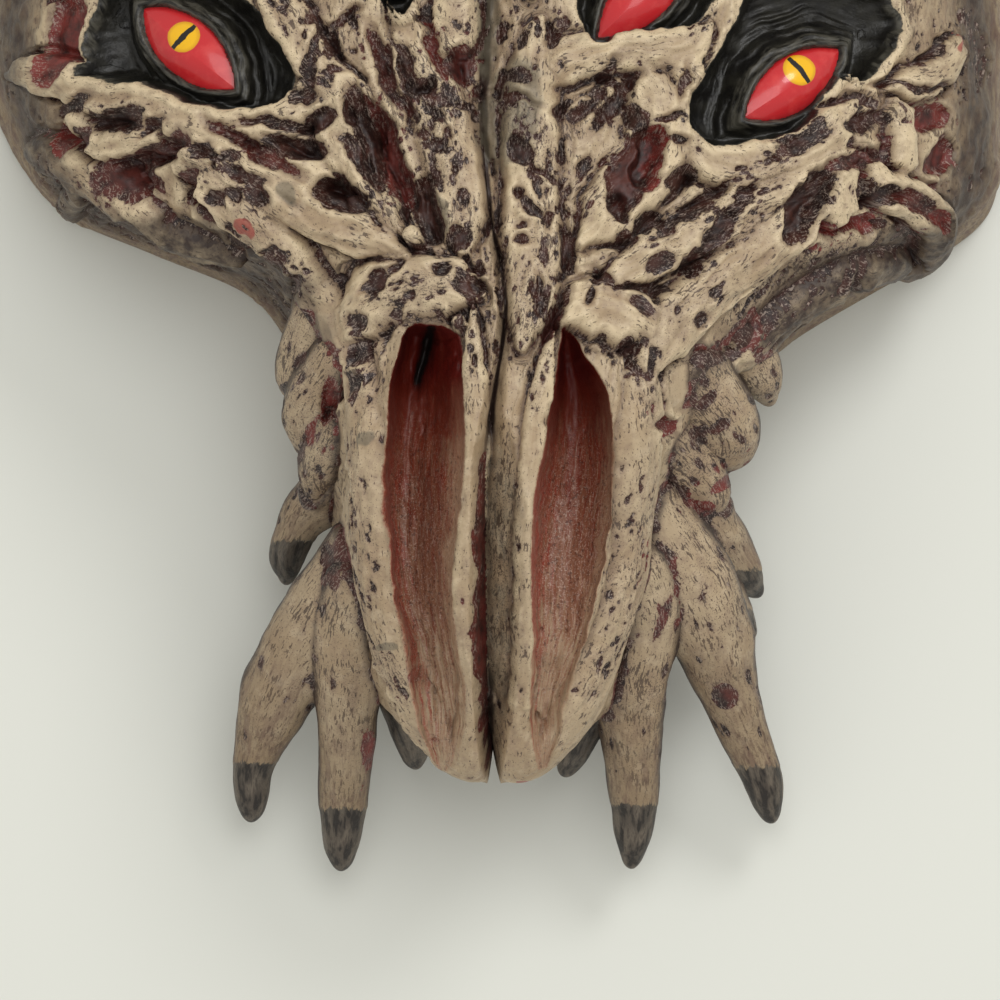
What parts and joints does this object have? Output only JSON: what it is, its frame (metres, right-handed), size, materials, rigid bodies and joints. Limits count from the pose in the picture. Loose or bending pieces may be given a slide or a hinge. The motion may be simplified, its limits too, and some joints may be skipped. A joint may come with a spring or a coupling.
{
  "type": "demon mask",
  "caption": "Hollow cast horror mask with slanted eyes in deep sockets, a cleft double snout with long nostrils, and claws along both sides of the jaw; worn over the face or laid out.",
  "frame": {"origin": "under the middle of the mask's bounding box, on the plane of its flat back rim", "axes": "+Z out of the face, +Y from the snout towards the forehead, +X to the right in the picture"},
  "size_m": [0.2542, 0.35, 0.1096],
  "materials": {
    "painted_resin": "bone paint over resin with a dark wash in the low places, satin"
  },
  "bodies": {
    "root": {"mask": "painted_resin"}
  },
  "joints": []
}
